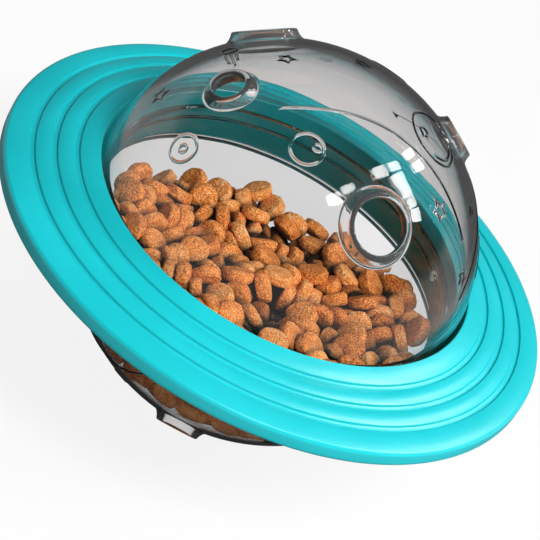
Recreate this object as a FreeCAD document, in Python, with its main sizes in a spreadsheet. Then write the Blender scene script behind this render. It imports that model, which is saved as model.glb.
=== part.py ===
import FreeCAD, Part

import math
import os

import Sketcher

# Treat ball: two clear shells that twist together, a saucer ring round them, and the kibble inside.
# Millimetres, +Z up. The ball stands on the lower shell's pole at the origin.
# Each piece is drawn about the middle of the ball and then raised by the ball's half height.

doc = FreeCAD.newDocument("TreatBall")

# Driving dimensions
sizes = {
    # Clear shells
    "ball_radius": 63.0,
    "belt_height": 1.6,
    "wall": 2.6,
    # Neck of the lower shell, which slips into the upper one
    "neck_height": 6.0,
    "neck_wall": 2.0,
    "neck_clearance": 0.5,
    "neck_lead_in": 0.6,
    "neck_depth": 5.0,
    "neck_taper": 4.0,
    # Treat outlets
    "rim_height": 2.2,
    "rim_rounding": 0.8,
    "mouth_chamfer": 0.6,
    "flare_radius": 2.6,
    "small_hole_radius": 5.0,
    "small_rim_radius": 7.3,
    "small_foot_radius": 9.2,
    "large_hole_radius": 8.5,
    "large_rim_radius": 10.5,
    "large_foot_radius": 12.9,
    "small_latitude": 51.0,
    "large_latitude": 46.0,
    "front_small_azimuth": -151.0,
    "front_large_azimuth": -57.5,
    "back_small_azimuth": 39.0,
    "back_large_azimuth": 145.0,
    "lower_front_azimuth": -85.0,
    "lower_back_azimuth": 95.0,
    # Saucer ring
    "ring_radius": 92.5,
    "ring_clearance": 0.3,
    "hub_height": 19.6,
    "edge_thickness": 5.0,
    "edge_rounding": 1.5,
    "bore_chamfer": 0.6,
    "groove_edge_inset": 8.5,
    "groove_bore_inset": 7.3,
    "groove_half_width": 0.9,
    "groove_depth": 0.9,
    "groove_count": 3,
    # Ledge of the lower shell, which the ring sits on
    "ledge_width": 1.8,
    "ledge_thickness": 1.5,
    # Kibble
    "kibble_clearance": 0.3,
    "kibble_radius": 4.8,
    "kibble_thickness": 4.8,
    "kibble_sides": 6,
    "kibble_tilt": 7.0,
    "kibble_count": 58,
    "heap_level": -12.4,
}
sheet = doc.addObject("Spreadsheet::Sheet", "Sizes")
for row, (alias, value) in enumerate(sizes.items(), start=1):
    sheet.set(f"A{row}", alias)
    sheet.set(f"B{row}", str(value))
    sheet.setAlias(f"B{row}", alias)
doc.recompute()

# Sizes worked out from the driving ones, as expressions on the sheet
BALL = "Sizes.ball_radius"
BELT = "Sizes.belt_height"
HOLLOW = "(Sizes.ball_radius - Sizes.wall)"
NECK = f"({HOLLOW} - Sizes.neck_clearance)"
NECK_BORE = f"({NECK} - Sizes.neck_wall)"
NECK_FOOT = "(Sizes.neck_depth + Sizes.neck_taper)"
BORE = "(Sizes.ball_radius + Sizes.ring_clearance)"
HUB_TOP = "(Sizes.hub_height / 2)"
EDGE_TOP = "(Sizes.edge_thickness / 2)"
RIM_TOP = "(Sizes.ball_radius + Sizes.rim_height)"
MIDDLE = "Sizes.ball_radius + Sizes.belt_height"
TOP_LAYER = "(Sizes.heap_level - Sizes.kibble_thickness)"


def number(expression):
    """The value that an expression has on the sheet now."""
    return float(sheet.evalExpression(expression))


def across(radius, distance):
    """The half width of a circle at a distance from its centre, as an expression."""
    return f"sqrt({radius} ^ 2 - ({distance}) ^ 2)"


def new_body(label):
    """An empty body, raised so that its own origin is the middle of the ball."""
    body = doc.addObject("PartDesign::Body", label)
    body.Label = label
    body.setExpression("Placement.Base.z", MIDDLE)
    return body


def new_sketch(body, name, offset=None):
    """A sketch on the body's upright XZ plane, or turned away from it by an offset expression."""
    sketch = body.newObject("Sketcher::SketchObject", name)
    plane = next(item for item in body.Origin.OriginFeatures if item.Role == "XZ_Plane")
    sketch.AttachmentSupport = (plane, [""])
    sketch.MapMode = "FlatFace"
    if offset:
        sketch.setExpression("AttachmentOffset", offset)
    return sketch


def bind(sketch, constraint, expression):
    index = sketch.addConstraint(constraint)
    sketch.setExpression(f"Constraints[{index}]", expression)


def short_arc(first, last, radius):
    """The arc of under half a turn that runs anticlockwise from first to last."""
    chord = last - first
    left = FreeCAD.Vector(-chord.y, chord.x, 0).normalize()
    centre = (first + last) * 0.5 + left * math.sqrt(radius ** 2 - (chord.Length / 2) ** 2)
    from_angle = math.atan2(first.y - centre.y, first.x - centre.x)
    to_angle = math.atan2(last.y - centre.y, last.x - centre.x)
    circle = Part.Circle(centre, FreeCAD.Vector(0, 0, 1), radius)
    return Part.ArcOfCircle(circle, from_angle, to_angle)


def draw_outline(sketch, points, arcs):
    """Draw a closed outline whose corners and radii stay bound to the sheet.

    points holds pairs of expressions. arcs gives, for the side that leaves a corner, the
    expression of its radius and the side it bulges to.
    """
    corners = [FreeCAD.Vector(number(x), number(y), 0) for x, y in points]
    count = len(corners)
    ends = []
    for index in range(count):
        start, end = corners[index], corners[(index + 1) % count]
        if index in arcs:
            radius, side = arcs[index]
            first, last = (end, start) if side == 1 else (start, end)
            sketch.addGeometry(short_arc(first, last, number(radius)), False)
            ends.append((2, 1) if side == 1 else (1, 2))
        else:
            sketch.addGeometry(Part.LineSegment(start, end), False)
            ends.append((1, 2))
    for index in range(count):
        following = (index + 1) % count
        sketch.addConstraint(
            Sketcher.Constraint("Coincident", index, ends[index][1], following, ends[following][0])
        )
    for index, (x, y) in enumerate(points):
        first = ends[index][0]
        bind(sketch, Sketcher.Constraint("DistanceX", -1, 1, index, first, corners[index].x), x)
        bind(sketch, Sketcher.Constraint("DistanceY", -1, 1, index, first, corners[index].y), y)
        if index in arcs:
            radius = arcs[index][0]
            bind(sketch, Sketcher.Constraint("Radius", index, number(radius)), radius)


def revolve(body, kind, name, sketch):
    """Turn a sketch once round its own vertical axis, to add (Revolution) or to cut (Groove)."""
    feature = body.newObject(f"PartDesign::{kind}", name)
    feature.Profile = sketch
    feature.ReferenceAxis = (sketch, ["V_Axis"])
    feature.Angle = 360
    doc.recompute()
    return feature


def edges_at(feature, radius):
    """Names of a feature's circular edges that have a radius."""
    names = []
    for index, edge in enumerate(feature.Shape.Edges, start=1):
        round_edge = isinstance(edge.Curve, Part.Circle)
        if round_edge and abs(edge.Curve.Radius - radius) < 0.001:
            names.append(f"Edge{index}")
    return names


# Clear shells

def draw_upper_wall(body):
    """A hollow half ball above a short belt, open at the seam."""
    sketch = new_sketch(body, "UpperWall")
    points = [
        ("0", f"{BELT} + {BALL}"),
        (BALL, BELT),
        (BALL, "0"),
        (HOLLOW, "0"),
        (HOLLOW, BELT),
        ("0", f"{BELT} + {HOLLOW}"),
    ]
    draw_outline(sketch, points, {0: (BALL, 1), 4: (HOLLOW, -1)})
    return revolve(body, "Revolution", "UpperShell", sketch)


def draw_lower_wall(body):
    """A hollow half ball below the seam, with a neck that stands up inside the upper shell."""
    sketch = new_sketch(body, "LowerWall")
    points = [
        ("0", f"-({BELT} + {BALL})"),
        (BALL, f"-{BELT}"),
        (BALL, "0"),
        (NECK, "0"),
        (NECK, "Sizes.neck_height - Sizes.neck_lead_in"),
        (f"{NECK} - Sizes.neck_lead_in", "Sizes.neck_height"),
        (NECK_BORE, "Sizes.neck_height"),
        (NECK_BORE, "-Sizes.neck_depth"),
        (across(HOLLOW, f"{NECK_FOOT} - {BELT}"), f"-{NECK_FOOT}"),
        ("0", f"-({BELT} + {HOLLOW})"),
    ]
    draw_outline(sketch, points, {0: (BALL, -1), 8: (HOLLOW, 1)})
    return revolve(body, "Revolution", "LowerShell", sketch)


def draw_ledge(body):
    """A narrow ledge round the lower shell, under the ring's hub."""
    sketch = new_sketch(body, "LedgeSection")
    root = f"{BALL} - Sizes.wall / 2"
    reach = f"{BORE} + Sizes.ledge_width"
    top = f"-{HUB_TOP}"
    bottom = f"-{HUB_TOP} - Sizes.ledge_thickness"
    draw_outline(sketch, [(root, bottom), (reach, bottom), (reach, top), (root, top)], {})
    return revolve(body, "Revolution", "Ledge", sketch)


def add_outlet(body, name, size, azimuth, latitude, half):
    """A round outlet on the sphere: a raised rim that flares into the wall, and the hole through it.

    half is 1 on the upper shell and -1 on the lower one, whose outlets look downward.
    """
    hole = f"Sizes.{size}_hole_radius"
    rim = f"Sizes.{size}_rim_radius"
    foot = f"Sizes.{size}_foot_radius"
    foot_level = across(BALL, foot)
    inside = f"{foot_level} - Sizes.wall / 2"
    centre = f"vector(0; {half} * {BELT}; 0)"
    swing = f"rotation(vector(0; 1; 0); Sizes.{azimuth})"
    lean = f"rotation(vector(0; 0; 1); {half} * Sizes.{latitude} - 90)"
    offset = f"placement({centre}; {swing} * {lean})"

    rim_sketch = new_sketch(body, f"{name}RimSection", offset)
    points = [
        ("0", inside),
        (foot, inside),
        (foot, foot_level),
        (rim, f"{RIM_TOP} - Sizes.rim_rounding"),
        (f"{rim} - Sizes.rim_rounding", RIM_TOP),
        ("0", RIM_TOP),
    ]
    draw_outline(rim_sketch, points, {2: ("Sizes.flare_radius", 1), 3: ("Sizes.rim_rounding", -1)})
    revolve(body, "Revolution", f"{name}Rim", rim_sketch)

    hole_sketch = new_sketch(body, f"{name}HoleSection", offset)
    chamfer = "Sizes.mouth_chamfer"
    points = [
        ("0", f"{HOLLOW} - Sizes.wall"),
        (hole, f"{HOLLOW} - Sizes.wall"),
        (hole, f"{RIM_TOP} - {chamfer}"),
        (f"{hole} + 2 * {chamfer}", f"{RIM_TOP} + {chamfer}"),
        ("0", f"{RIM_TOP} + {chamfer}"),
    ]
    draw_outline(hole_sketch, points, {})
    before = body.Shape.Volume
    revolve(body, "Groove", f"{name}Hole", hole_sketch)
    if not body.Shape.Volume < before:
        raise ValueError(f"{name} hole cut nothing")


def make_upper_shell():
    body = new_body("upper_shell")
    draw_upper_wall(body)
    add_outlet(body, "FrontSmall", "small", "front_small_azimuth", "small_latitude", 1)
    add_outlet(body, "FrontLarge", "large", "front_large_azimuth", "large_latitude", 1)
    add_outlet(body, "BackSmall", "small", "back_small_azimuth", "small_latitude", 1)
    add_outlet(body, "BackLarge", "large", "back_large_azimuth", "large_latitude", 1)
    return body


def make_lower_shell():
    body = new_body("lower_shell")
    draw_lower_wall(body)
    draw_ledge(body)
    add_outlet(body, "LowerFront", "small", "lower_front_azimuth", "small_latitude", -1)
    add_outlet(body, "LowerBack", "small", "lower_back_azimuth", "small_latitude", -1)
    return body


# Saucer ring

def cut_ring_groove(body, name, reach, level, face):
    """A shallow V groove round the ring, cut down from its face where face is 1, or up where it is -1."""
    sketch = new_sketch(body, f"{name}Section")
    width, depth = "Sizes.groove_half_width", "Sizes.groove_depth"
    points = [
        (reach, f"{level} - {face} * {depth}"),
        (f"{reach} + {width}", f"{level} + {face} * {depth}"),
        (f"{reach} - {width}", f"{level} + {face} * {depth}"),
    ]
    draw_outline(sketch, points, {})
    before = body.Shape.Volume
    revolve(body, "Groove", name, sketch)
    if not body.Shape.Volume < before:
        raise ValueError(f"{name} cut nothing")


def ease_edges(body, kind, name, radius, setting, size):
    """Round or chamfer the circular edges that have a radius."""
    base = body.Tip
    eased = body.newObject(f"PartDesign::{kind}", name)
    eased.Base = (base, edges_at(base, number(radius)))
    eased.setExpression(setting, size)
    doc.recompute()


def make_saucer_ring():
    """A thick hub round the ball that thins to a rounded edge, with shallow grooves on both faces."""
    body = new_body("saucer_ring")
    sketch = new_sketch(body, "RingSection")
    edge = "Sizes.ring_radius"
    points = [(BORE, f"-{HUB_TOP}"), (edge, f"-{EDGE_TOP}"), (edge, EDGE_TOP), (BORE, HUB_TOP)]
    draw_outline(sketch, points, {})
    revolve(body, "Revolution", "Ring", sketch)

    ease_edges(body, "Chamfer", "BoreChamfer", BORE, "Size", "Sizes.bore_chamfer")
    ease_edges(body, "Fillet", "EdgeRounding", edge, "Radius", "Sizes.edge_rounding")

    count = int(number("Sizes.groove_count"))
    slope = f"(({HUB_TOP} - {EDGE_TOP}) / ({edge} - {BORE}))"
    spread = f"({edge} - {BORE} - Sizes.groove_edge_inset - Sizes.groove_bore_inset)"
    for place in range(count):
        inset = f"(Sizes.groove_edge_inset + {place} * {spread} / (Sizes.groove_count - 1))"
        reach = f"({edge} - {inset})"
        level = f"({EDGE_TOP} + {slope} * {inset})"
        for name, face in (("Upper", 1), ("Lower", -1)):
            cut_ring_groove(body, f"{name}Groove{place + 1}", reach, f"{face} * {level}", face)
    return body


# Kibble

def make_kibble_bed():
    """The lower part of the heap as one solid, lying in the lower shell under its top layer."""
    body = new_body("kibble_bed")
    sketch = new_sketch(body, "BedSection")
    rest = f"({HOLLOW} - Sizes.kibble_clearance)"
    level = f"({TOP_LAYER} - Sizes.kibble_clearance)"
    points = [
        ("0", f"-({BELT} + {rest})"),
        (across(rest, f"{level} + {BELT}"), level),
        ("0", level),
    ]
    draw_outline(sketch, points, {0: (rest, -1)})
    revolve(body, "Revolution", "Bed", sketch)
    return body


def make_kibble_top_layer():
    """Pieces lying on the bed, spread by the golden angle, each tipped a little its own way."""
    radius = number("Sizes.kibble_radius")
    tilt = number("Sizes.kibble_tilt")
    count = int(number("Sizes.kibble_count"))
    level = number(f"{MIDDLE} + {TOP_LAYER}")
    golden_angle = 180 * (3 - math.sqrt(5))
    reach = number(f"{across(HOLLOW, f'{TOP_LAYER} + {BELT}')} - 1.5 * Sizes.kibble_radius")
    pieces = []
    for index in range(count):
        direction = math.radians(index * golden_angle)
        distance = reach * math.sqrt((index + 0.5) / count)
        lean = tilt * math.sin(2 * index)
        lift = radius * math.sin(math.radians(abs(lean)))
        piece = doc.addObject("Part::Prism", "Kibble")
        piece.setExpression("Polygon", "Sizes.kibble_sides")
        piece.setExpression("Circumradius", "Sizes.kibble_radius")
        piece.setExpression("Height", "Sizes.kibble_thickness")
        place = FreeCAD.Vector(distance * math.cos(direction), distance * math.sin(direction), level + lift)
        tip = FreeCAD.Rotation(FreeCAD.Vector(math.cos(index), math.sin(index), 0), lean)
        turn = FreeCAD.Rotation(FreeCAD.Vector(0, 0, 1), index * golden_angle)
        piece.Placement = FreeCAD.Placement(place, tip * turn)
        pieces.append(piece)
    layer = doc.addObject("Part::Compound", "kibble_top_layer")
    layer.Label = "kibble_top_layer"
    layer.Links = pieces
    return layer


sub_parts = [
    make_lower_shell(),
    make_upper_shell(),
    make_saucer_ring(),
    make_kibble_bed(),
    make_kibble_top_layer(),
]
doc.recompute()

for item in doc.Objects:
    if "Invalid" in item.State or "Error" in item.State:
        raise ValueError(f"{item.Label} failed: {item.State}")
for part in sub_parts:
    if part.Shape.isNull() or not part.Shape.isValid():
        raise ValueError(f"{part.Label} has no valid shape")

os.makedirs("parts", exist_ok=True)
for part in sub_parts:
    part.Shape.exportStep(f"parts/{part.Label}.step")
    box = part.Shape.BoundBox
    across_box = f"{box.XLength:.1f} x {box.YLength:.1f} x {box.ZLength:.1f} mm"
    print(f"{part.Label}: {part.Shape.Volume:.0f} mm3 in {across_box}")
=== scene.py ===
import math

import bmesh
import bpy
import numpy as np
from mathutils import Matrix, Vector, noise
from mathutils.geometry import delaunay_2d_cdt


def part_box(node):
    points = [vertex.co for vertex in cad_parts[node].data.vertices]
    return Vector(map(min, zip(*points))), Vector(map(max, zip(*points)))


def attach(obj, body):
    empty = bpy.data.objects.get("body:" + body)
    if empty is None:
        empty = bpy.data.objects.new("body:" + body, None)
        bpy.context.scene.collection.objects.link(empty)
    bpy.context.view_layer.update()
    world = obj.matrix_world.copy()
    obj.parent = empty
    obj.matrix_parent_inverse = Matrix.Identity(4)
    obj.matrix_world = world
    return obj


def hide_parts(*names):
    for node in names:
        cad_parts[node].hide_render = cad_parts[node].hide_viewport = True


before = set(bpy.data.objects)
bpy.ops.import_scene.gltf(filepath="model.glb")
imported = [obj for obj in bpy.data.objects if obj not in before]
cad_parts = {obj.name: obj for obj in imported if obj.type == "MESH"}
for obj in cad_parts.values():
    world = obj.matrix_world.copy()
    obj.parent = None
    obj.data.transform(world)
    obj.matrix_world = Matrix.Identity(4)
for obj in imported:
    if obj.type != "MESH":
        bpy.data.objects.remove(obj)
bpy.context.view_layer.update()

# Treat ball: smoky clear shells, a soft turquoise saucer ring and a heap of kibble.
# Shapes are worked out in millimetres about the middle of the ball, where the shells meet,
# and set down in the row frame, in metres, as each mesh is made.

MM = 0.001

# Sizes that follow the solids
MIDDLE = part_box("upper_shell")[0].z / MM
BALL_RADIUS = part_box("upper_shell")[1].x / MM
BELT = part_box("upper_shell")[1].z / MM - MIDDLE - BALL_RADIUS
RING_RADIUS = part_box("saucer_ring")[1].x / MM
WALL = 2.6
HOLLOW = BALL_RADIUS - WALL
# The lower wall is drawn thinner, because a full one hides the kibble near the outline
LOWER_HOLLOW = BALL_RADIUS - 1.0

# Outlets: the azimuth and latitude of each in degrees, and which size it has
SMALL_OUTLET = {"hole": 5.0, "rim": 7.3, "foot": 9.2}
LARGE_OUTLET = {"hole": 8.5, "rim": 10.5, "foot": 12.9}
RIM_HEIGHT = 2.2
RIM_SHOULDER, RIM_LIP = 0.8, 0.7
MOUTH_SHARE = 0.45
UPPER_OUTLETS = [
    (-151.0, 51.0, SMALL_OUTLET),
    (-57.5, 46.0, LARGE_OUTLET),
    (39.0, 51.0, SMALL_OUTLET),
    (145.0, 46.0, LARGE_OUTLET),
]
LOWER_OUTLETS = [(-85.0, 51.0, SMALL_OUTLET), (95.0, 51.0, SMALL_OUTLET)]

# Fineness of the meshes
SEAM_STEPS = 288
OUTLET_STEPS = 72
RING_STEPS = 360
OUTER_SPACING = 3.0
INNER_SPACING = 5.0
WELD_DISTANCE = 0.002
ON_SPHERE = 0.003
SHARP_DEGREES = 40


# Mesh helpers

def add_mesh(name, vertices, faces, material, body):
    """A smooth mesh from millimetre coordinates about the middle of the ball, riding on a body."""
    mesh = bpy.data.meshes.new(name)
    placed = (np.asarray(vertices, float) + np.array([0, 0, MIDDLE])) * MM
    mesh.from_pydata(placed.tolist(), [], faces)
    mesh.materials.append(material)
    mesh.shade_smooth()
    mesh.set_sharp_from_angle(angle=math.radians(SHARP_DEGREES))
    mesh.update()
    made = bpy.data.objects.new(name, mesh)
    bpy.context.scene.collection.objects.link(made)
    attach(made, body)
    return made


def merge_parts(parts):
    """Join meshes given as (vertices, faces) and weld the vertices that meet."""
    work = bmesh.new()
    for vertices, faces in parts:
        made = [work.verts.new(v) for v in vertices]
        for face in faces:
            if len(set(face)) > 2:
                work.faces.new([made[i] for i in face])
    bmesh.ops.remove_doubles(work, verts=work.verts, dist=WELD_DISTANCE)
    bmesh.ops.recalc_face_normals(work, faces=work.faces)
    work.verts.index_update()
    vertices = [tuple(v.co) for v in work.verts]
    faces = [[v.index for v in face.verts] for face in work.faces]
    work.free()
    return vertices, faces


def revolve(profile, steps):
    """Turn (radius, height) points round Z. Returns vertices and quads."""
    vertices = []
    for radius, height in profile:
        for step in range(steps):
            angle = 2 * math.pi * step / steps
            vertices.append((radius * math.cos(angle), radius * math.sin(angle), height))
    faces = []
    for row in range(len(profile) - 1):
        for step in range(steps):
            following = (step + 1) % steps
            low, high = row * steps, (row + 1) * steps
            faces.append((low + step, low + following, high + following, high + step))
    return vertices, faces


def arc_points(centre, radius, from_degrees, to_degrees, count):
    """Points along an arc, both ends included."""
    angles = np.radians(np.linspace(from_degrees, to_degrees, count))
    return [(centre[0] + radius * math.cos(a), centre[1] + radius * math.sin(a)) for a in angles]


# The half ball as a flat map: distance from the pole stands for the angle from it

def direction_of(flat):
    """Unit vectors from map points."""
    flat = np.asarray(flat, float).reshape(-1, 2)
    polar = np.hypot(flat[:, 0], flat[:, 1])
    safe = np.maximum(polar, 1e-12)
    side = np.sin(polar) / safe
    return np.column_stack([flat[:, 0] * side, flat[:, 1] * side, np.cos(polar)])


def flat_of(directions):
    """Map points from unit vectors."""
    directions = np.asarray(directions, float).reshape(-1, 3)
    polar = np.arccos(np.clip(directions[:, 2], -1, 1))
    flat = np.hypot(directions[:, 0], directions[:, 1])
    scale = polar / np.maximum(flat, 1e-12)
    return np.column_stack([directions[:, 0] * scale, directions[:, 1] * scale])


def axes_at(azimuth, latitude):
    """The outward direction at a place on the half ball, and east and north, square to it."""
    a, b = math.radians(azimuth), math.radians(latitude)
    outward = np.array([math.cos(b) * math.cos(a), math.cos(b) * math.sin(a), math.sin(b)])
    east = np.array([-math.sin(a), math.cos(a), 0.0])
    return outward, east, np.cross(outward, east)


def circle_on_ball(azimuth, latitude, angle, count):
    """Unit vectors round a circle that stands an angle away from a place."""
    outward, east, north = axes_at(azimuth, latitude)
    turns = 2 * np.pi * np.arange(count) / count
    around = np.outer(np.cos(turns), east) + np.outer(np.sin(turns), north)
    return math.cos(angle) * outward + math.sin(angle) * around


# Raised lines on the shells: plain planets, stars and comets

# The section of a line: distance from its middle, and height
LINE_ROWS = [
    (-0.7, 0.0), (-0.45, 0.02), (-0.31, 0.09), (-0.16, 0.2), (0.0, 0.24),
    (0.16, 0.2), (0.31, 0.09), (0.45, 0.02), (0.7, 0.0),
]
LINE_STEP = 1.1
STAR_TIPS, STAR_WAIST = 5, 0.45


def stroke(azimuth, latitude, points, closed=False, spin=0.0):
    """A raised line given by points in millimetres east and north of a place, as unit vectors."""
    outward, east, north = axes_at(azimuth, latitude)
    points = np.asarray(points, float)
    if closed:
        points = np.vstack([points, points[:1]])
    turn = math.radians(spin)
    points = points @ np.array([[math.cos(turn), math.sin(turn)], [-math.sin(turn), math.cos(turn)]])
    dense = []
    for start, end in zip(points[:-1], points[1:]):
        count = max(1, round(float(np.linalg.norm(end - start)) / LINE_STEP))
        dense.extend(start + (end - start) * k / count for k in range(count))
    dense.append(points[-1])
    dense = np.array(dense)
    reach = np.hypot(dense[:, 0], dense[:, 1])
    angle = reach / BALL_RADIUS
    unit = dense / np.maximum(reach, 1e-9)[:, None]
    around = unit[:, :1] * east + unit[:, 1:] * north
    return np.cos(angle)[:, None] * outward + np.sin(angle)[:, None] * around


def ring_line(azimuth, latitude, radius, from_degrees=0, to_degrees=360):
    """A round line, or an arc of one."""
    count = max(8, round(math.radians(abs(to_degrees - from_degrees)) * radius / LINE_STEP))
    points = arc_points((0, 0), radius, from_degrees, to_degrees, count + 1)
    return stroke(azimuth, latitude, points)


def star_line(azimuth, latitude, radius, spin):
    """The outline of a plain star."""
    points = []
    for corner in range(2 * STAR_TIPS):
        reach = radius if corner % 2 == 0 else radius * STAR_WAIST
        angle = math.pi / 2 + math.pi * corner / STAR_TIPS
        points.append((reach * math.cos(angle), reach * math.sin(angle)))
    return stroke(azimuth, latitude, points, closed=True, spin=spin)


def swoosh_line(start, end, bow):
    """A long line over the ball from one (azimuth, latitude) to another, bowed to its left."""
    first, last = axes_at(*start)[0], axes_at(*end)[0]
    side = np.cross(first, last)
    side /= np.linalg.norm(side)
    span = math.acos(float(np.clip(first @ last, -1, 1)))
    count = max(4, round(span * BALL_RADIUS / LINE_STEP))
    made = []
    for k in range(count + 1):
        share = k / count
        point = (math.sin((1 - share) * span) * first + math.sin(share * span) * last) / math.sin(span)
        point = point + side * bow / BALL_RADIUS * math.sin(math.pi * share)
        made.append(point / np.linalg.norm(point))
    return np.array(made)


def comet_lines(azimuth, latitude, spin):
    """A small round head with three straight tails."""
    head = ring_line(azimuth, latitude, 2.4)
    tails = [
        stroke(azimuth, latitude, [(3.2, y), (6 + reach, y * 0.8)], spin=spin)
        for y, reach in ((1.7, 3.0), (0.0, 6.0), (-1.7, 4.0))
    ]
    return [head] + tails


UPPER_LINES = [
    swoosh_line((-128, 62), (-10, 40), 9.0),
    swoosh_line((75, 33), (-12, 22), -4.0),
    ring_line(10, 66, 9.5),
    ring_line(10, 66, 7.6, 200, 330),
    ring_line(4, 70, 1.6),
    ring_line(22, 63, 1.1),
    ring_line(-100, 58, 5.2),
    ring_line(-96, 60, 1.3),
    ring_line(85, 56, 6.4),
    ring_line(85, 56, 4.6, 20, 160),
    star_line(-22, 50, 3.4, 12),
    star_line(-12, 28, 2.6, 40),
    star_line(62, 36, 3.2, -20),
    star_line(112, 44, 2.6, 8),
    star_line(-165, 30, 3.2, 0),
    star_line(-178, 66, 2.8, 10),
    star_line(110, 76, 2.6, 10),
    ring_line(-30, 33, 1.2),
    ring_line(5, 42, 1.4),
    ring_line(74, 46, 1.0),
    ring_line(-135, 33, 4.6),
    ring_line(-135, 33, 1.4),
    *comet_lines(175, 48, 30),
    *comet_lines(18, 24, 205),
]
LOWER_LINES = [
    swoosh_line((-150, 40), (-100, 22), 6.0),
    swoosh_line((40, 30), (120, 40), 6.0),
    ring_line(150, 36, 9.0),
    ring_line(150, 36, 7.2, 20, 150),
    ring_line(60, 40, 6.0),
    ring_line(-30, 42, 7.0),
    star_line(175, 24, 3.0, 0),
    star_line(10, 34, 3.2, 15),
    star_line(-55, 32, 2.8, 30),
    star_line(-120, 50, 2.8, 5),
    *comet_lines(90, 26, 20),
]


def line_height(directions, lines):
    """How far the raised lines lift each point of the ball, and how far the nearest line is."""
    nearest = np.full(len(directions), 1e9)
    for line in lines:
        starts, ends = line[:-1], line[1:]
        span = ends - starts
        length = np.maximum((span ** 2).sum(1), 1e-18)
        for first in range(0, len(directions), 4000):
            block = directions[first:first + 4000]
            offset = block[:, None, :] - starts[None]
            share = np.clip((offset * span[None]).sum(2) / length[None], 0, 1)
            gap = np.linalg.norm(offset - share[..., None] * span[None], axis=2).min(1)
            nearest[first:first + 4000] = np.minimum(nearest[first:first + 4000], gap * BALL_RADIUS)
    rows = LINE_ROWS[len(LINE_ROWS) // 2:]
    return np.interp(nearest, [r[0] for r in rows], [r[1] for r in rows]), nearest


# Shells

def line_rails(line):
    """Map points along a raised line, one row for each point of its section."""
    ahead = np.gradient(line, axis=0)
    ahead /= np.linalg.norm(ahead, axis=1)[:, None]
    side = np.cross(line, ahead)
    rails = []
    for offset, _ in LINE_ROWS:
        row = line + side * offset / BALL_RADIUS
        row /= np.linalg.norm(row, axis=1)[:, None]
        rails.append(flat_of(row))
    return rails


def even_field(radius, limit, spacing):
    """Map points spread evenly over a sphere from the pole to an angle."""
    rings = max(2, round(limit * radius / spacing))
    field = []
    for ring in range(rings):
        polar = limit * ring / rings
        around = max(1, round(2 * math.pi * math.sin(polar) * radius / spacing))
        for k in range(around):
            angle = 2 * math.pi * (k + 0.5 * (ring % 2)) / around
            field.append((polar * math.cos(angle), polar * math.sin(angle)))
    return np.array(field)


def ball_patch(radius, limit, outlets, hole_key, spacing, lines):
    """A sphere's surface from the pole to an angle, with a round gap at each outlet.

    Returns vertices about the sphere's own centre, and triangles.
    """
    boundary = [
        (limit * math.cos(2 * math.pi * k / SEAM_STEPS), limit * math.sin(2 * math.pi * k / SEAM_STEPS))
        for k in range(SEAM_STEPS)
    ]
    points = [np.array(boundary)]
    edges = [(k, (k + 1) % SEAM_STEPS) for k in range(SEAM_STEPS)]
    count = SEAM_STEPS
    gaps = []
    for azimuth, latitude, size in outlets:
        angle = math.asin(size[hole_key] / radius)
        ring = flat_of(circle_on_ball(azimuth, latitude, angle, OUTLET_STEPS))
        points.append(ring)
        edges += [(count + k, count + (k + 1) % OUTLET_STEPS) for k in range(OUTLET_STEPS)]
        count += OUTLET_STEPS
        gaps.append((axes_at(azimuth, latitude)[0], angle))
    for line in lines:
        for row in line_rails(line):
            points.append(row)
            edges += [(count + k, count + k + 1) for k in range(len(row) - 1)]
            count += len(row)
    # The even field of points stays off the outlets, the lines and the seam
    field = even_field(radius, limit, spacing)
    heading = direction_of(field)
    keep = np.ones(len(field), bool)
    for outward, angle in gaps:
        keep &= np.arccos(np.clip(heading @ outward, -1, 1)) > angle + 0.35 * spacing / radius
    if lines:
        keep &= line_height(heading, lines)[1] > 0.8 + 0.3 * spacing
    keep &= np.hypot(field[:, 0], field[:, 1]) < limit - 0.4 * spacing / radius
    points.append(field[keep])
    flat = [Vector(p) for p in np.vstack(points)]
    made = delaunay_2d_cdt(flat, edges, [], 0, 1e-7)
    corners = np.array([tuple(v) for v in made[0]])
    heading = direction_of(corners)
    lift = line_height(heading, lines)[0] if lines else np.zeros(len(heading))
    vertices = heading * (radius + lift)[:, None]
    faces = []
    for face in made[2]:
        middle = heading[list(face)].mean(0)
        middle /= np.linalg.norm(middle)
        in_gap = any(math.acos(min(1.0, float(middle @ outward))) < angle for outward, angle in gaps)
        if not in_gap:
            faces.append(tuple(face))
    return vertices, faces


def outlet_wall(azimuth, latitude, size, hollow):
    """The raised rim of one outlet and the wall of its hole, about the sphere's centre."""
    hole, rim, foot = size["hole"], size["rim"], size["foot"]
    top = BALL_RADIUS + RIM_HEIGHT
    foot_height = math.sqrt(BALL_RADIUS ** 2 - foot ** 2)
    flare_top, bore_top = top - RIM_SHOULDER, top - RIM_LIP
    flare = [
        (foot + (rim - foot) * share, foot_height + (flare_top - foot_height) * share ** 2.2)
        for share in np.linspace(0, 1, 9)
    ]
    crown = arc_points((rim - RIM_SHOULDER, flare_top), RIM_SHOULDER, 0, 90, 6)[1:]
    lip = arc_points((hole + RIM_LIP, bore_top), RIM_LIP, 90, 180, 6)
    mouth = inner_gap(size)["hole"]
    inner = math.sqrt(hollow ** 2 - mouth ** 2)
    bore = [
        (hole + (mouth - hole) * share ** 2.0, bore_top - (bore_top - inner) * share)
        for share in np.linspace(0, 1, 8)[1:]
    ]
    vertices, faces = revolve(flare + crown + lip + bore, OUTLET_STEPS)
    outward, east, north = axes_at(azimuth, latitude)
    turned = np.asarray(vertices) @ np.array([east, north, outward])
    return turned, faces


def inner_gap(size):
    """The size of an outlet's mouth on the inner sphere, where its bore has flared."""
    return {"hole": size["hole"] + MOUTH_SHARE * (size["foot"] - size["hole"])}


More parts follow.
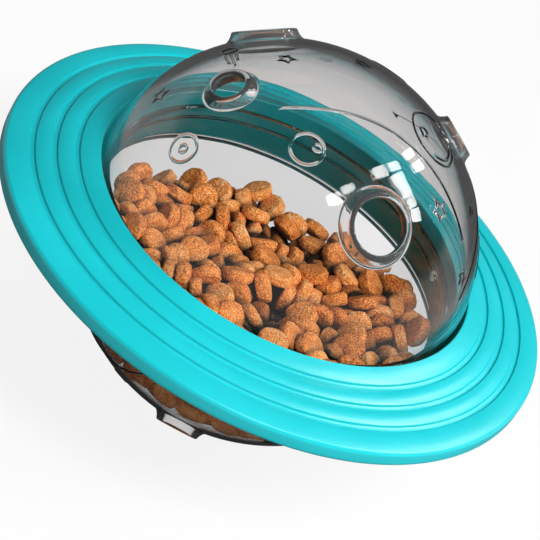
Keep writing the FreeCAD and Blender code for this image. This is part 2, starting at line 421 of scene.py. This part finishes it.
def shell_parts(outlets, lines, outer_limit, inner_limit, hollow):
    """All the curved surfaces of a half ball, about the sphere's centre."""
    inner_outlets = [(a, b, inner_gap(size)) for a, b, size in outlets]
    parts = [
        ball_patch(BALL_RADIUS, outer_limit, outlets, "foot", OUTER_SPACING, lines),
        ball_patch(hollow, inner_limit, inner_outlets, "hole", INNER_SPACING, []),
    ]
    parts += [outlet_wall(*outlet, hollow) for outlet in outlets]
    return parts


def shifted(parts, height):
    """The parts, raised."""
    return [(np.asarray(v, float) + np.array([0, 0, height]), f) for v, f in parts]


def mark_points(made, name, values):
    """Keep a number for each point of a mesh, for its material to read."""
    layer = made.data.attributes.new(name, "FLOAT", "POINT")
    layer.data.foreach_set("value", np.asarray(values, float))


def round_normals(made, vertices, height, hollow):
    """Exact normals on the plain parts of the two spheres, so that reflections in them stay clean."""
    mesh = made.data
    offset = np.asarray(vertices) - np.array([0, 0, height])
    distance = np.linalg.norm(offset, axis=1)
    corners = np.empty(len(mesh.loops), int)
    mesh.loops.foreach_get("vertex_index", corners)
    sizes = np.empty(len(mesh.polygons), int)
    mesh.polygons.foreach_get("loop_total", sizes)
    face_of = np.repeat(np.arange(len(sizes)), sizes)
    normals = np.zeros((len(corners), 3))
    for radius, way in ((BALL_RADIUS, 1), (hollow, -1)):
        beside = np.abs(distance[corners] - radius) > ON_SPHERE
        plain = (np.bincount(face_of, weights=beside, minlength=len(sizes)) == 0)[face_of]
        normals[plain] = way * (offset / distance[:, None])[corners[plain]]
    mesh.normals_split_custom_set(normals.tolist())


def in_outlet(vertices, outlets, up):
    """1 for the points of an outlet's rim or hole, 0 for the ball. up is -1 for the lower half."""
    points = np.asarray(vertices) * np.array([1, 1, up]) - np.array([0, 0, BELT])
    inside = np.zeros(len(points))
    # The foot itself, where the rim meets the ball, counts as the ball
    for azimuth, latitude, size in outlets:
        outward = axes_at(azimuth, latitude)[0]
        along = points @ outward
        beside = np.linalg.norm(points - along[:, None] * outward, axis=1)
        inside[(along > 0) & (beside < 0.97 * size["foot"])] = 1
    return inside


# The rounded outer edge of both halves where they meet
SEAM_EDGE = [(BALL_RADIUS, 0.35), (BALL_RADIUS - 0.08, 0.15), (BALL_RADIUS - 0.3, 0.06)]


def make_upper_shell(material):
    """The upper half, with its plain seam."""
    equator = math.pi / 2
    parts = shifted(shell_parts(UPPER_OUTLETS, UPPER_LINES, equator, equator, HOLLOW), BELT)
    seam = [
        (BALL_RADIUS, BELT),
        *SEAM_EDGE,
        (HOLLOW + 0.3, 0.06),
        (HOLLOW + 0.06, 0.15),
        (HOLLOW, 0.35),
        (HOLLOW, BELT),
    ]
    parts.append(revolve(seam, SEAM_STEPS))
    vertices, faces = merge_parts(parts)
    made = add_mesh("upper_shell_clear", vertices, faces, material, "upper")
    round_normals(made, vertices, BELT, HOLLOW)
    mark_points(made, "rim", in_outlet(vertices, UPPER_OUTLETS, 1))
    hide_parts("upper_shell")


def make_lower_shell(material):
    """The lower half, drawn pole up and turned over, with its ledge and its neck."""
    ledge_foot, ledge_top, ledge_reach = 11.3, 9.8, BALL_RADIUS + 2.1
    neck, neck_bore = HOLLOW - 0.5, HOLLOW - 2.5
    neck_height, neck_depth, neck_foot = 6.0, 5.0, 9.0
    outer_limit = math.acos((ledge_foot - BELT) / BALL_RADIUS)
    inner_limit = math.acos((neck_foot - BELT) / LOWER_HOLLOW)
    surfaces = shell_parts(LOWER_OUTLETS, LOWER_LINES, outer_limit, inner_limit, LOWER_HOLLOW)
    parts = shifted(surfaces, BELT)
    at_top = math.sqrt(BALL_RADIUS ** 2 - (ledge_top - BELT) ** 2)
    band = [
        (math.sqrt(BALL_RADIUS ** 2 - (height - BELT) ** 2), height)
        for height in np.linspace(ledge_top - 0.3, BELT, 5)
    ]
    profile = [
        (BALL_RADIUS * math.sin(outer_limit), ledge_foot),
        (ledge_reach - 0.4, ledge_foot),
        (ledge_reach - 0.12, ledge_foot - 0.12),
        (ledge_reach, ledge_foot - 0.4),
        (ledge_reach, ledge_top + 0.3),
        (ledge_reach - 0.3, ledge_top),
        (at_top + 0.25, ledge_top),
        *band,
        *SEAM_EDGE,
        (neck + 0.3, 0.06),
        (neck, -0.2),
        (neck, 0.6 - neck_height),
        (neck - 0.25, 0.15 - neck_height),
        (neck - 0.6, -neck_height),
        (neck_bore + 0.4, -neck_height),
        (neck_bore, 0.4 - neck_height),
        (neck_bore, neck_depth - 0.6),
        (neck_bore + 0.2, neck_depth),
        (LOWER_HOLLOW * math.sin(inner_limit), neck_foot),
    ]
    parts.append(revolve(profile, SEAM_STEPS))
    vertices, faces = merge_parts([(np.asarray(v) * np.array([1, 1, -1]), f) for v, f in parts])
    made = add_mesh("lower_shell_clear", vertices, faces, material, "lower")
    round_normals(made, vertices, -BELT, LOWER_HOLLOW)
    mark_points(made, "rim", in_outlet(vertices, LOWER_OUTLETS, -1))
    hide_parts("lower_shell")


# Saucer ring

GROOVE_RADII = (70.6, 77.3, 84.0)
# Half of a groove's section: distance from its middle, and depth
GROOVE_SIDE = [
    (-1.1, 0), (-1.0, 0.05), (-0.93, 0.22), (-0.88, 0.55), (-0.8, 0.74), (-0.6, 0.8), (0, 0.8),
]
HUB_HALF, EDGE_HALF = 9.78, 2.5
EDGE_CORNER = 1.5
BORE = BALL_RADIUS + 0.3


def ring_face():
    """Half of the ring's section, from the bore to the edge, with the rounded grooves."""
    def slope(radius):
        return HUB_HALF + (EDGE_HALF - HUB_HALF) * (radius - BORE) / (RING_RADIUS - BORE)

    points = [(BORE, HUB_HALF - 0.7), (BORE + 0.1, HUB_HALF - 0.3), (BORE + 0.4, HUB_HALF - 0.12)]
    points.append((BORE + 0.9, slope(BORE + 0.9)))
    for middle in GROOVE_RADII:
        for offset, depth in GROOVE_SIDE + [(-o, d) for o, d in GROOVE_SIDE[-2::-1]]:
            points.append((middle + offset, slope(middle + offset) - depth))
    # The corner's centre lies a little deeper than its radius, because the face slopes
    centre = (RING_RADIUS - EDGE_CORNER, slope(RING_RADIUS - EDGE_CORNER) - EDGE_CORNER * 1.03)
    lean = math.degrees(math.atan2(HUB_HALF - EDGE_HALF, RING_RADIUS - BORE))
    points += arc_points(centre, EDGE_CORNER, 90 - lean, 0, 9)
    return points


def make_saucer_ring(material):
    """The ring, alike on both faces."""
    face = ring_face()
    profile = face + [(radius, -height) for radius, height in reversed(face)]
    profile.append(profile[0])
    vertices, faces = merge_parts([revolve(profile, RING_STEPS)])
    made = add_mesh("saucer_ring_rubber", vertices, faces, material, "ring")
    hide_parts("saucer_ring")


# Kibble

PIECE_RADIUS, PIECE_HALF, PIECE_CORNER = 5.2, 2.25, 1.3
KIBBLE_COUNT = 790
HEAP_LEVEL, HEAP_LEAN_X, HEAP_LEAN_Y, HEAP_REACH = -10.8, 0.06, -0.12, 56
SETTLE_ROUNDS = 150
# Pieces this far under the top of the heap and behind the wall are never seen, and not drawn
CORE_DEPTH, CORE_INSET = 20, 12
# Pieces nearer the top than this are drawn finely
FINE_DEPTH = 11
# Painted shade on the pieces: the way to the lamps, how far off its neighbours lie, and how wide they
# count
LIT_FROM = np.array([0.25, -0.35, 0.9])
NEIGHBOUR_REACH, NEIGHBOUR_WIDTH = 17, 4.4


def heap_top(places):
    """How high the heap may reach over each place: a leaning, uneven plane that climbs at the wall."""
    x, y = places[..., 0], places[..., 1]
    swell = 1.6 * np.sin(x * 0.13 + 1.0) * np.cos(y * 0.11) + 1.8 * np.sin(x * 0.31 - y * 0.27)
    bumps = 1.4 * np.sin(x * 0.62 + y * 0.2 + 2.0) * np.sin(y * 0.55 - x * 0.15)
    climb = (3.2 + 2.4 * np.maximum(x, 0) / HEAP_REACH) * (np.hypot(x, y) / HEAP_REACH) ** 4
    return HEAP_LEVEL + HEAP_LEAN_X * x + HEAP_LEAN_Y * y + swell + bumps + climb


def settle_heap(random):
    """Round tablets shaken into the bowl until they hardly press on one another.

    Each tablet is seven beads held in one shape. Returns the places and the turns.
    """
    bead = PIECE_HALF
    spokes = np.arange(6) * math.pi / 3
    arm = PIECE_RADIUS - bead
    ring = np.column_stack([arm * np.cos(spokes), arm * np.sin(spokes), 0 * spokes])
    beads = np.vstack([[0, 0, 0], ring])
    bowl = np.array([0, 0, -BELT])
    reach = LOWER_HOLLOW - 0.3 - bead
    places = random.uniform(-1, 1, (KIBBLE_COUNT * 12, 3)) * HEAP_REACH + bowl
    inside = np.linalg.norm(places - bowl, axis=1) < HEAP_REACH
    places = places[inside & (places[:, 2] < heap_top(places) - 3)][:KIBBLE_COUNT]
    turns = np.linalg.qr(random.normal(size=(KIBBLE_COUNT, 3, 3)))[0]
    turns *= np.sign(np.linalg.det(turns))[:, None, None]
    for count in range(SETTLE_ROUNDS):
        pull = 0.03 if count > SETTLE_ROUNDS * 0.6 else 0.0
        # The pairs that may touch are looked up anew every fourth round
        if count % 4 == 0:
            gap = np.linalg.norm(places[:, None] - places[None], axis=2)
            first, second = np.nonzero(np.triu(gap < 2 * PIECE_RADIUS + 0.4, 1))
        dots = places[:, None] + np.einsum("kij,bj->kbi", turns, beads) - np.array([0, 0, pull])
        apart = dots[first][:, :, None] - dots[second][:, None]
        distance = np.maximum(np.linalg.norm(apart, axis=3), 1e-6)
        overlap = np.maximum(2 * bead - distance, 0)
        push = apart * (0.5 * overlap / distance)[..., None]
        moved = np.zeros_like(dots)
        touches = np.zeros(dots.shape[:2])
        np.add.at(moved, first, push.sum(2))
        np.add.at(moved, second, -push.sum(1))
        np.add.at(touches, first, (overlap > 0).sum(2))
        np.add.at(touches, second, (overlap > 0).sum(1))
        dots += moved * (1.5 / np.maximum(touches, 1.5))[..., None]
        # The lid over the heap, the bowl under it, and the neck round its top
        dots[..., 2] = np.minimum(dots[..., 2], heap_top(dots) - bead + 0.6)
        out = dots - bowl
        far = np.linalg.norm(out, axis=2)
        dots = bowl + out * np.minimum(1, reach / far)[..., None]
        room = np.interp(dots[..., 2], (-9.5, -5.0), (HOLLOW, HOLLOW - 2.5)) - bead - 0.2
        dots[..., :2] *= np.minimum(1, room / np.hypot(dots[..., 0], dots[..., 1]))[..., None]
        # Each tablet's seven beads go back into shape
        places = dots.mean(1)
        spread = np.einsum("kbi,bj->kij", dots - places[:, None], beads)
        spread += 0.5 * turns * np.array([0, 0, 1])
        left, _, right = np.linalg.svd(spread)
        left[:, :, 2] *= np.sign(np.linalg.det(left @ right))[:, None]
        turns = left @ right
    return places, turns


def tablet(random, steps, bends):
    """One crumbly round tablet with slightly domed faces, about its own centre.

    steps counts the points round it, and bends the points over its rounded corner.
    """
    corner = (PIECE_RADIUS - PIECE_CORNER, PIECE_HALF - PIECE_CORNER - 0.15)
    half = [(0.45 * PIECE_RADIUS, PIECE_HALF - 0.03)]
    half += arc_points(corner, PIECE_CORNER, 88, 14, bends)
    profile = [(radius, -height) for radius, height in half] + half[::-1]
    vertices, faces = revolve(profile, steps)
    top_row = (len(profile) - 1) * steps
    low, high = len(vertices), len(vertices) + 1
    for step in range(steps):
        following = (step + 1) % steps
        faces.append((low, following, step))
        faces.append((high, top_row + step, top_row + following))
    shape = np.array(vertices + [(0, 0, -PIECE_HALF), (0, 0, PIECE_HALF)])
    drift = Vector(random.uniform(-50, 50, 3))
    for k, point in enumerate(shape):
        place = Vector(point)
        swell = noise.fractal(place * 0.2 + drift, 1.0, 2.0, 2) * 0.34
        grain = noise.fractal(place * 0.8 + drift, 0.8, 2.1, 3) * 0.3
        shape[k] = point + np.array(place.normalized()) * (swell + grain)
    return shape, faces


def crowding(points, others, way):
    """How far other pieces close off the light that comes one way to each point, from 0 to 1."""
    offset = others[None] - points[:, None]
    distance = np.linalg.norm(offset, axis=2)
    rise = np.clip(offset @ way / distance, 0, 1)
    return 1 - np.exp(-(rise * np.minimum(1, NEIGHBOUR_WIDTH / distance) ** 2).sum(1))


def make_kibble(material):
    """The heap, with a tone for each piece and, for each point, a painted shade from how far the pieces
    round it close off the lamps or the wall side.
    """
    random = np.random.default_rng(7)
    places, turns = settle_heap(random)
    depth = heap_top(places) - places[:, 2]
    inset = LOWER_HOLLOW - np.linalg.norm(places - np.array([0, 0, -BELT]), axis=1)
    fine = [tablet(random, steps=26, bends=5) for _ in range(12)]
    plain = [tablet(random, steps=14, bends=3) for _ in range(8)]
    vertices, faces, tones, painted_shades = [], [], [], []
    count = 0
    for k, (place, turn) in enumerate(zip(places, turns)):
        if depth[k] > CORE_DEPTH and inset[k] > CORE_INSET:
            continue
        shape, quads = fine[k % len(fine)] if depth[k] < FINE_DEPTH else plain[k % len(plain)]
        stretch = random.uniform([0.92, 0.92, 0.88], [1.03, 1.03, 1.08])
        placed = (shape * stretch) @ turn.T + place
        near = np.linalg.norm(places - place, axis=1)
        others = places[(near < NEIGHBOUR_REACH) & (near > 0)]
        outward = place + np.array([0, 0, BELT])
        outward /= np.linalg.norm(outward)
        lamp_side = crowding(placed, others, LIT_FROM)
        wall_side = crowding(placed, others, outward)
        # The painted shade: the more the neighbours close off, towards the lamps or out to the wall,
        # the darker the point
        painted_shades.append(np.minimum(lamp_side, 1.7 * wall_side))
        vertices.append(placed)
        faces += [tuple(i + count for i in quad) for quad in quads]
        tones.append(np.full(len(shape), random.uniform(0, 1)))
        count += len(shape)
    made = add_mesh("kibble_heap", np.vstack(vertices), faces, material, "lower")
    mark_points(made, "tone", np.concatenate(tones))
    mark_points(made, "shade", np.concatenate(painted_shades))
    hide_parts("kibble_bed", "kibble_top_layer")


# Materials

def node_maker(tree):
    """Clears a node tree. Returns a helper that adds a node, sets its inputs and links them.

    An input is named, with _ for a space, or numbered, as in _0.
    """
    tree.nodes.clear()

    def add(kind, settings=None, **inputs):
        node = tree.nodes.new("ShaderNode" + kind)
        for key, value in (settings or {}).items():
            setattr(node, key, value)
        for key, value in inputs.items():
            numbered = key[1:].isdigit()
            socket = node.inputs[int(key[1:]) if numbered else key.replace("_", " ")]
            if isinstance(value, bpy.types.NodeSocket):
                tree.links.new(value, socket)
            else:
                socket.default_value = value
        return node

    return add


def maths(add, operation, *values):
    """One step of arithmetic. Returns the socket of its result."""
    inputs = {f"_{place}": value for place, value in enumerate(values)}
    return add("Math", {"operation": operation}, **inputs).outputs[0]


def mapped(add, value, low, high, source=(0.0, 1.0)):
    """A value carried from the source range to low and high, and held there. Returns a socket."""
    node = add("MapRange", Value=value, From_Min=source[0], From_Max=source[1], To_Min=low, To_Max=high)
    return node.outputs[0]


def seen_through(add, path):
    """1 for rays that came through the clear plastic and were mirrored nowhere, else 0."""
    straight = mapped(add, path["Glossy Depth"], 1.0, 0.0)
    return maths(add, "MULTIPLY", path["Is Transmission Ray"], straight)


def new_material(name):
    """A material and the helper that adds its nodes."""
    material = bpy.data.materials.new(name)
    material.use_nodes = True
    return material, node_maker(material.node_tree)


def colour_steps(node, steps):
    """Set a colour ramp's places and colours."""
    ramp = node.color_ramp
    while len(ramp.elements) < len(steps):
        ramp.elements.new(0.5)
    for element, (place, colour) in zip(ramp.elements, steps):
        element.position = place
        element.color = (*colour, 1)


def clear_plastic():
    """Smoky clear plastic with a faint moulding ripple. Light that falls on what is inside passes it.

    The ball's dark edge is broad at the top of the dome and narrow below it and on the outlet rims.
    """
    material, add = new_material("clear_plastic")
    place = add("TexCoord").outputs["Object"]
    ripple = add("TexNoise", Vector=place, Scale=38.0, Detail=2.0)
    bump = add("Bump", Strength=0.025, Distance=0.002, Height=ripple.outputs["Fac"])
    rim = add("Attribute", {"attribute_name": "rim"}).outputs["Fac"]
    height = add("SeparateXYZ", _0=place).outputs["Z"]
    reach = mapped(add, height, 0.82, 0.95, (0.076, 0.106))
    facing = add("LayerWeight", Blend=0.5).outputs["Facing"]
    edge = add("ValToRGB", Fac=maths(add, "MULTIPLY", facing, mapped(add, rim, reach, 0.55)))
    colour_steps(edge, [
        (0.56, (1, 1, 1)),
        (0.67, (0.75, 0.76, 0.76)),
        (0.74, (0.4, 0.41, 0.42)),
        (0.8, (0.1, 0.105, 0.11)),
        (1.0, (0.03, 0.03, 0.035)),
    ])
    glass = add(
        "BsdfPrincipled",
        Base_Color=edge.outputs["Color"],
        Roughness=0.006,
        IOR=1.49,
        Specular_Tint=(0.5, 0.5, 0.5, 1),
        Transmission_Weight=1.0,
        Normal=bump.outputs[0],
    )
    matt = add("BsdfDiffuse", Color=(0.9, 0.9, 0.9, 1))
    frost = mapped(add, rim, 0.0, 0.035)
    body = add("MixShader", _0=frost, _1=glass.outputs[0], _2=matt.outputs[0])
    clear = add("BsdfTransparent", Color=(1, 1, 1, 1))
    path = add("LightPath").outputs
    soft = maths(add, "MAXIMUM", path["Is Shadow Ray"], path["Is Diffuse Ray"])
    mixed = add("MixShader", _0=soft, _1=body.outputs[0], _2=clear.outputs[0])
    smoke = add("VolumeAbsorption", Color=(0.1, 0.1, 0.1, 1), Density=80.0)
    add("OutputMaterial", Surface=mixed.outputs[0], Volume=smoke.outputs[0])
    return material


def ring_rubber():
    """Turquoise rubber, satin, with a fine moulded grain and a slight drift of tone."""
    material, add = new_material("ring_rubber")
    place = add("TexCoord").outputs["Object"]
    drift = add("TexNoise", Vector=place, Scale=26.0, Detail=3.0)
    tone = add("ValToRGB", Fac=drift.outputs["Fac"])
    colour_steps(tone, [(0.3, (0.005, 0.43, 0.47)), (0.7, (0.008, 0.49, 0.545))])
    grain = add("TexNoise", Vector=place, Scale=1900.0, Detail=2.0)
    bump = add("Bump", Strength=0.12, Distance=0.0002, Height=grain.outputs["Fac"])
    rubber = add(
        "BsdfPrincipled",
        Base_Color=tone.outputs["Color"],
        Roughness=mapped(add, drift.outputs["Fac"], 0.26, 0.34),
        Normal=bump.outputs[0],
    )
    add("OutputMaterial", Surface=rubber.outputs[0])
    return material


def baked_kibble():
    """Orange-brown baked crumb with a tone for each piece, pale specks and dark pores, and painted
    shade that darkens the gaps between pieces.
    """
    material, add = new_material("baked_kibble")
    place = add("TexCoord").outputs["Object"]
    tone = add("Attribute", {"attribute_name": "tone"}).outputs["Fac"]
    shade = add("Attribute", {"attribute_name": "shade"}).outputs["Fac"]
    patches = add("TexNoise", Vector=place, Scale=300.0, Detail=2.0, Roughness=0.5).outputs["Fac"]
    crumbs = add("TexNoise", Vector=place, Scale=2300.0, Detail=2.0, Roughness=0.6).outputs["Fac"]
    pits = add("TexNoise", Vector=place, Scale=900.0, Detail=1.0).outputs["Fac"]
    base = maths(add, "MULTIPLY_ADD", tone, 0.16, -0.11)
    coarse = maths(add, "MULTIPLY_ADD", patches, 0.35, base)
    level = maths(add, "MULTIPLY_ADD", crumbs, 1.3, coarse)
    crust = add("ValToRGB", Fac=mapped(add, level, 0.0, 1.0, (0.42, 1.16)))
    colour_steps(crust, [
        (0.12, (0.2, 0.035, 0.005)),
        (0.34, (0.62, 0.165, 0.028)),
        (0.58, (0.95, 0.32, 0.062)),
        (0.76, (1.0, 0.5, 0.17)),
        (0.9, (1.0, 0.78, 0.45)),
    ])
    # Painted shade: points that neighbouring pieces close off are darkened, to nearly black deep in the
    # gaps
    painted_gap_shade = mapped(add, shade, 1.0, 0.02, (0.11, 0.35))
    crust_with_painted_shade = add("VectorMath", {"operation": "SCALE"}, _0=crust.outputs["Color"], _3=painted_gap_shade)
    height = maths(add, "MULTIPLY_ADD", crumbs, 0.5, pits)
    bump = add("Bump", Strength=0.9, Distance=0.001, Height=height)
    crumb = add(
        "BsdfPrincipled",
        Base_Color=crust_with_painted_shade.outputs[0],
        Roughness=0.7,
        Normal=bump.outputs[0],
    )
    add("OutputMaterial", Surface=crumb.outputs[0])
    return material


# Floor, lights, background and camera

FLOOR_HALF = 6
# The floor's grey, and the near black painted on it where it is seen in mirrors
FLOOR_GREY, MIRROR_PAINTED_GREY = 0.38, 0.03
FLOOR_GLOW, SEEN_SHARE = 1.1, 0.8


def make_floor():
    """A pale floor that the camera sees as white where nothing shades it.

    In mirrors its look is painted: nearly black under the ball as a painted shadow, dark behind the
    ball and brighter further off, so that it doesn't veil the clear plastic.
    """
    mesh = bpy.data.meshes.new("floor")
    corners = [(-1, -1), (1, -1), (1, 1), (-1, 1)]
    mesh.from_pydata([(x * FLOOR_HALF, y * FLOOR_HALF, 0) for x, y in corners], [], [(0, 1, 2, 3)])
    floor = bpy.data.objects.new("floor", mesh)
    bpy.context.scene.collection.objects.link(floor)
    material, add = new_material("floor_white")
    path = add("LightPath").outputs
    seen = maths(add, "MAXIMUM", path["Is Camera Ray"], seen_through(add, path))
    place = add("TexCoord").outputs["Object"]
    reach = add("VectorMath", {"operation": "LENGTH"}, _0=place).outputs["Value"]
    back = maths(add, "DIVIDE", add("SeparateXYZ", _0=place).outputs["Y"], reach)
    # Painted shadow and light in mirrors: the floor's glow there is faint under the ball and behind it,
    # and stronger further off
    open_side = mapped(add, back, 0.7, 0.1, (0.5, 0.8))
    far = mapped(add, reach, 0.02, open_side, (0.12, 0.3))
    mirrored = maths(add, "MULTIPLY", path["Is Glossy Ray"], far)
    glow = maths(add, "MULTIPLY_ADD", seen, SEEN_SHARE, mirrored)
    grey = mapped(add, path["Is Glossy Ray"], FLOOR_GREY, MIRROR_PAINTED_GREY)
    colour = add("CombineXYZ", _0=grey, _1=grey, _2=grey)
    paint = add("BsdfDiffuse", Color=colour.outputs[0])
    light = add("Emission", Color=(1, 1, 1, 1), Strength=FLOOR_GLOW)
    both = add("MixShader", _0=glow, _1=paint.outputs[0], _2=light.outputs[0])
    add("OutputMaterial", Surface=both.outputs[0])
    mesh.materials.append(material)


def add_panel(name, azimuth, elevation, distance, width, height, power, roll=0.0):
    """A soft rectangular lamp that faces the middle of the ball."""
    lamp = bpy.data.lights.new(name, "AREA")
    lamp.shape = "RECTANGLE"
    lamp.size, lamp.size_y = width, height
    lamp.energy = power
    made = bpy.data.objects.new(name, lamp)
    bpy.context.scene.collection.objects.link(made)
    away = Vector(axes_at(azimuth, elevation)[0])
    made.location = away * distance + Vector((0, 0, MIDDLE * MM))
    turn = away.to_track_quat("Z", "Y").to_matrix().to_4x4()
    made.rotation_euler = (turn @ Matrix.Rotation(math.radians(roll), 4, "Z")).to_euler()
    return made


# The panes of a window, mirrored in the dome: azimuth, elevation, width and height in metres,
# and roll
PANES = [
    (-54, 64, 0.162, 0.129, 22),
    (-32, 69, 0.166, 0.089, 5),
    (24, 63, 0.188, 0.113, -47),
    (38, 55, 0.158, 0.077, -58),
    (29, 52, 0.196, 0.115, -42),
    (25, 47, 0.163, 0.121, -35),
    (22, 42, 0.137, 0.090, -28),
    (19, 37, 0.148, 0.118, -32),
    (53, 43, 0.141, 0.069, -59),
    (48, 39, 0.161, 0.075, -52),
]
PANE_DISTANCE, PANE_GLOW = 1.2, 24.0

# The lamps that light the part, seen in no mirror: azimuth, elevation and watts
LAMPS = {"key": (-52, 54, 31), "fill": (5, 40, 15)}
LAMP_DISTANCE, LAMP_WIDTH, LAMP_HEIGHT = 1.6, 0.5, 0.4
ROOM_LIGHT = 0.128


def light_scene():
    """Window panes for the mirrored shine, two soft lamps, and a plain backdrop."""
    for number, (azimuth, elevation, width, height, roll) in enumerate(PANES, 1):
        power = PANE_GLOW * math.pi * width * height
        name = f"pane_{number}"
        pane = add_panel(name, azimuth, elevation, PANE_DISTANCE, width, height, power, roll)
        pane.visible_diffuse = False
    for name, (azimuth, elevation, power) in LAMPS.items():
        lamp = add_panel(name, azimuth, elevation, LAMP_DISTANCE, LAMP_WIDTH, LAMP_HEIGHT, power)
        lamp.visible_glossy = False
        lamp.visible_transmission = False
    world = bpy.data.worlds.new("studio")
    bpy.context.scene.world = world
    world.use_nodes = True
    add = node_maker(world.node_tree)
    path = add("LightPath").outputs
    way = add("SeparateXYZ", _0=add("TexCoord").outputs["Generated"]).outputs
    open_side = mapped(add, way["Y"], 0.8, 0.2, (0.5, 0.8))
    mirrored = mapped(add, way["Z"], open_side, 0.08, (0.14, 0.24))
    through = mapped(add, way["Z"], 0.9, 0.36, (0.12, 0.4))
    strength = mapped(add, path["Is Glossy Ray"], ROOM_LIGHT, mirrored)
    strength = mapped(add, seen_through(add, path), strength, through)
    strength = mapped(add, path["Is Camera Ray"], strength, 1.0)
    sky = add("Background", Color=(1, 1, 1, 1), Strength=strength)
    add("OutputWorld", Surface=sky.outputs[0])


CAMERA_ELEVATION, CAMERA_ROLL = 33.7457, 31.0527
CAMERA_PLACE = (0.003108, -0.702545, 0.523772)
CAMERA_LENS = 178.113


def place_camera():
    """The photograph's view: from the front and above, with the camera rolled."""
    elevation, roll = math.radians(CAMERA_ELEVATION), math.radians(CAMERA_ROLL)
    back = Vector((0, -math.cos(elevation), math.sin(elevation)))
    right = Vector((1, 0, 0))
    up = back.cross(right)
    across = math.cos(roll) * right + math.sin(roll) * up
    upward = -math.sin(roll) * right + math.cos(roll) * up
    camera = bpy.data.cameras.new("camera")
    camera.sensor_width = 36
    camera.lens = CAMERA_LENS
    made = bpy.data.objects.new("camera", camera)
    bpy.context.scene.collection.objects.link(made)
    turn = Matrix((across, upward, back)).transposed().to_4x4()
    made.matrix_world = Matrix.Translation(CAMERA_PLACE) @ turn
    bpy.context.scene.camera = made


bpy.context.scene.view_settings.view_transform = "Standard"
clear = clear_plastic()
make_upper_shell(clear)
make_lower_shell(clear)
make_saucer_ring(ring_rubber())
make_kibble(baked_kibble())
make_floor()
light_scene()
place_camera()
